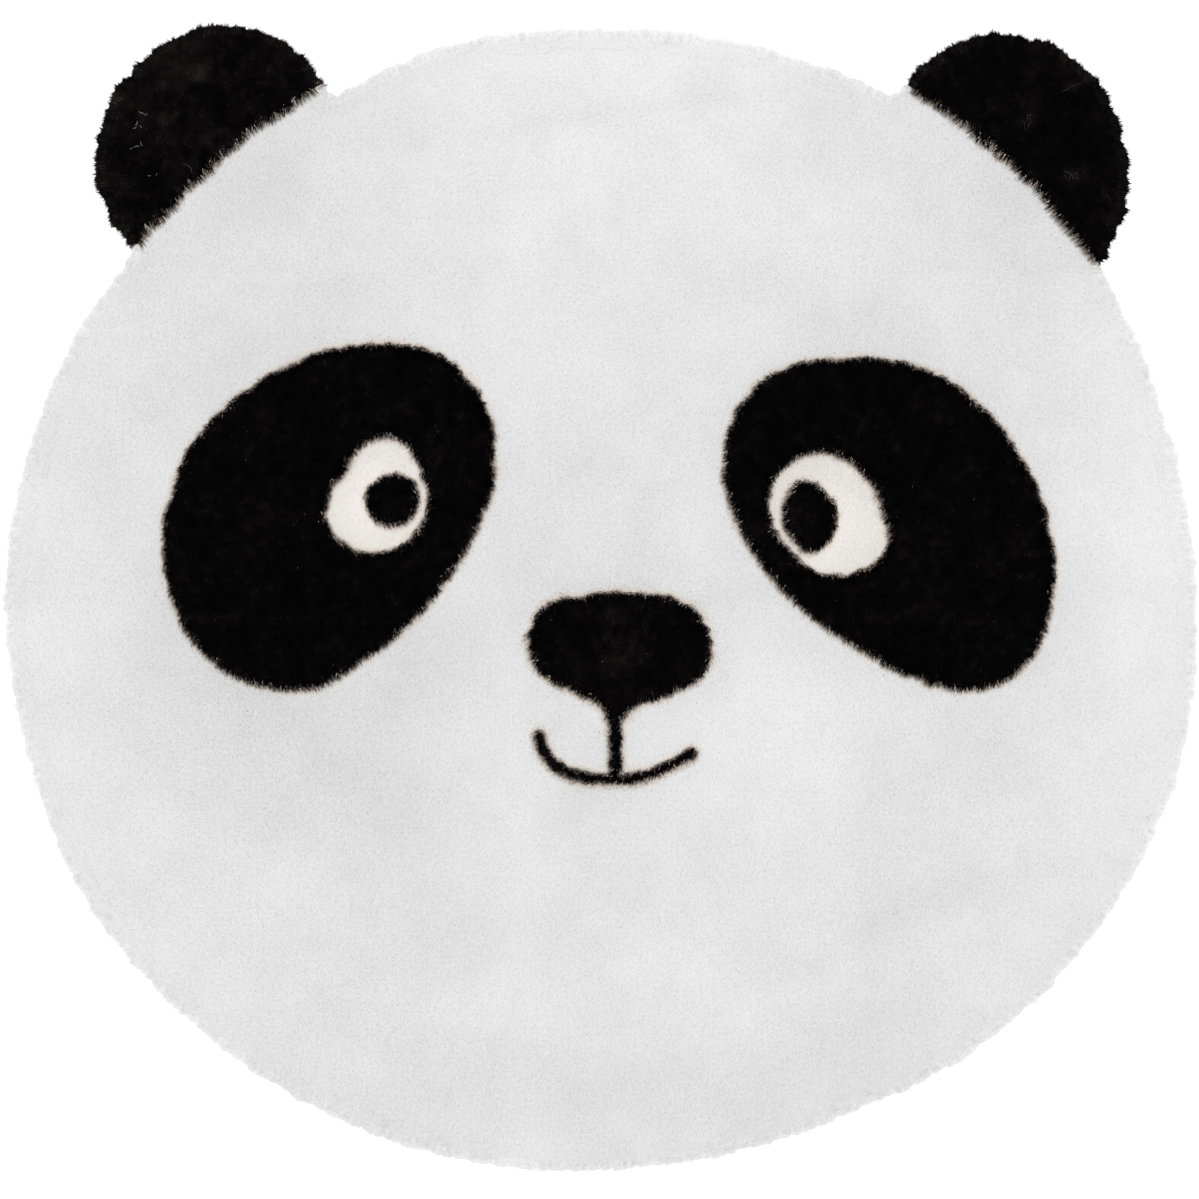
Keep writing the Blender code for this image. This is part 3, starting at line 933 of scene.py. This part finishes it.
turned = (normal * np.column_stack([out, np.ones(RIM_BLADES)])).sum(1) < 0
points[turned] = points[turned][:, [1, 0, 2]]
rim_shade = pile_shade(*foot.T, rim_gap, rng, BLADE_UNEVENNESS, BLACK_RIM_UNEVENNESS)
# Painted light: lighter rim fibres, and lighter still where they face sideways
side_painted_light = RIM_PAINTED_LIGHT + RIM_SIDE_PAINTED_LIGHT * np.cos(turn)
rim_shade *= np.where(rim_gap < 0, BLACK_RIM_PAINTED_LIGHT, side_painted_light)
rim_gaps = np.tile(rim_gap[:, None], (1, 3))
rim = blade_mesh("pile_rim", points, FIELD_PATTERN, rim_gaps, rim_shade)
blade_map(rim.data, FIELD_SHAPES)
rim.data.materials.append(plush)
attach(rim, "root")
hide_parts("plush_rug")


# ---------------------------------------------------------------------------------------------
# Lint. Bits of pale fluff that the black ears have picked up: short bent fibres lying loose on
# the pile. They are polyester too, so they have the pile's own finish.

LINT_PIECES = 7
LINT_HALF_WIDTH = 0.00013
LINT_LIFT = 0.0007  # how high they lie above the pile's tips
LINT_TAPER = 0.7
LINT = (  # middle in mm, direction in degrees, length in mm, bend in degrees, shade
    (-347.0, 367.0, -20, 4.5, 50, 0.42),
    (-343.5, 365.5, 20, 3.5, -60, 0.30),
    (-350.5, 359.0, 70, 4.0, 70, 0.46),
    (-347.5, 356.5, -50, 3.0, -40, 0.30),
    (-352.0, 355.5, 15, 3.0, 30, 0.38),
    (-350.5, 341.5, 10, 4.5, -50, 0.40),
    (-347.0, 343.5, -60, 4.0, 80, 0.30),
    (-354.5, 340.0, 40, 2.5, 30, 0.30),
    (-341.0, 319.5, 5, 2.5, 40, 0.30),
    (-335.5, 320.5, 60, 2.0, 30, 0.24),
    (-311.5, 325.5, -52, 12.0, -95, 0.11),
    (321.5, 363.0, -100, 6.0, 60, 0.060),
    (318.5, 359.0, -70, 5.0, -50, 0.050),
    (322.5, 357.5, -110, 5.0, 70, 0.060),
    (319.5, 355.0, -60, 4.0, 30, 0.040),
    (323.5, 361.0, -80, 4.0, 40, 0.050),
    (351.0, 322.5, -15, 6.0, 40, 0.080),
    (354.5, 319.5, -60, 6.0, -60, 0.090),
    (357.5, 321.0, 40, 5.0, 50, 0.070),
    (353.0, 317.5, -100, 5.0, 40, 0.060),
    (358.5, 317.5, -30, 4.0, 60, 0.060),
    (350.0, 319.0, -75, 4.0, -30, 0.050),
    (350.0, 384.0, 25, 7.0, 20, 0.050),
    (356.0, 387.0, 20, 8.0, -20, 0.060),
    (361.0, 389.0, 15, 5.0, 20, 0.050),
    (382.0, 304.0, -40, 4.0, 40, 0.040),
    (384.0, 301.5, -90, 4.0, 30, 0.040),
)

lint_points = []
lint_faces = []
lint_shades = []
for middle_x, middle_y, direction_deg, length, bend_deg, lint_shade in LINT:
    places = []
    place = np.zeros(2)
    for step in range(LINT_PIECES + 1):
        way = math.radians(direction_deg + bend_deg * (step / LINT_PIECES - 0.5))
        places.append((place.copy(), way))
        place += np.array((math.cos(way), math.sin(way))) * length * MM / LINT_PIECES
    middle = sum(point for point, way in places) / len(places)
    for step, (point, way) in enumerate(places):
        spot = point - middle + np.array((middle_x, middle_y)) * MM
        spot_z = float(crown.at(*spot)) + LINT_LIFT
        half = LINT_HALF_WIDTH * (1.0 - LINT_TAPER * abs(2 * step / LINT_PIECES - 1) ** 3)
        for way_side in (-1, 1):
            lint_points.append((
                spot[0] - math.sin(way) * half * way_side,
                spot[1] + math.cos(way) * half * way_side,
                spot_z,
            ))
            lint_shades.append(lint_shade)
        if step:
            last = len(lint_points) - 1
            lint_faces.append((last - 3, last - 2, last, last - 1)[::-1])
lint_mesh = bpy.data.meshes.new("lint")
lint_mesh.from_pydata(lint_points, [], lint_faces)
lint = bpy.data.objects.new("lint", lint_mesh)
bpy.context.scene.collection.objects.link(lint)
set_values(lint, "print_gap", np.full(len(lint_points), PRINT_FADE_MM))
set_values(lint, "shade", lint_shades)
lint_mesh.materials.append(plush)
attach(lint, "root")


# ---------------------------------------------------------------------------------------------
# Studio. A white floor lit as evenly as a light table, even light from all round with a large
# soft lamp above, and the camera straight over the rug, as in the photograph.

FLOOR_HALF = 4.0
FLOOR_DROP = 0.0002
FLOOR_COLOUR = (0.30, 0.30, 0.30, 1.0)
FLOOR_GLOW = 0.85
ROOM_LIGHT = 1.0
LAMP_SIZE = 1.6
LAMP_PLACE = (-0.05, 0.12, 2.6)
LAMP_POWER = 12.0
LENS_MM = 85.0
SENSOR_MM = 36.0
VIEW_WIDTH = 1199 * 0.755 * MM
VIEW_MIDDLE = (-0.0014, -0.0002)
PILE_PLANE = 0.012

bpy.ops.mesh.primitive_plane_add(size=2 * FLOOR_HALF, location=(0, 0, -FLOOR_DROP))
floor = bpy.context.active_object
floor.name = "floor"
floor_paint = bpy.data.materials.new("floor_paint")
floor_paint.use_nodes = True
floor_shader = floor_paint.node_tree.nodes["Principled BSDF"]
floor_shader.inputs["Base Color"].default_value = FLOOR_COLOUR
floor_shader.inputs["Roughness"].default_value = 0.9
floor_shader.inputs["Specular IOR Level"].default_value = 0.1
floor_shader.inputs["Emission Color"].default_value = (1.0, 1.0, 1.0, 1.0)
floor_shader.inputs["Emission Strength"].default_value = FLOOR_GLOW
floor.data.materials.append(floor_paint)

room = bpy.data.worlds.new("room")
room.use_nodes = True
room.node_tree.nodes["Background"].inputs["Color"].default_value = (1.0, 1.0, 1.0, 1.0)
room.node_tree.nodes["Background"].inputs["Strength"].default_value = ROOM_LIGHT
bpy.context.scene.world = room

lamp_data = bpy.data.lights.new("soft_lamp", "AREA")
lamp_data.shape = "SQUARE"
lamp_data.size = LAMP_SIZE
lamp_data.energy = LAMP_POWER
lamp = bpy.data.objects.new("soft_lamp", lamp_data)
lamp.location = LAMP_PLACE
lamp.rotation_euler = (-Vector(LAMP_PLACE)).to_track_quat("-Z", "Y").to_euler()
bpy.context.scene.collection.objects.link(lamp)

camera_data = bpy.data.cameras.new("camera")
camera_data.lens = LENS_MM
camera_data.sensor_width = SENSOR_MM
camera_data.clip_end = 50
camera = bpy.data.objects.new("camera", camera_data)
distance = VIEW_WIDTH * LENS_MM / SENSOR_MM
camera.location = (VIEW_MIDDLE[0], VIEW_MIDDLE[1], PILE_PLANE + distance)
bpy.context.scene.collection.objects.link(camera)
bpy.context.scene.camera = camera
bpy.context.scene.view_settings.view_transform = "Standard"
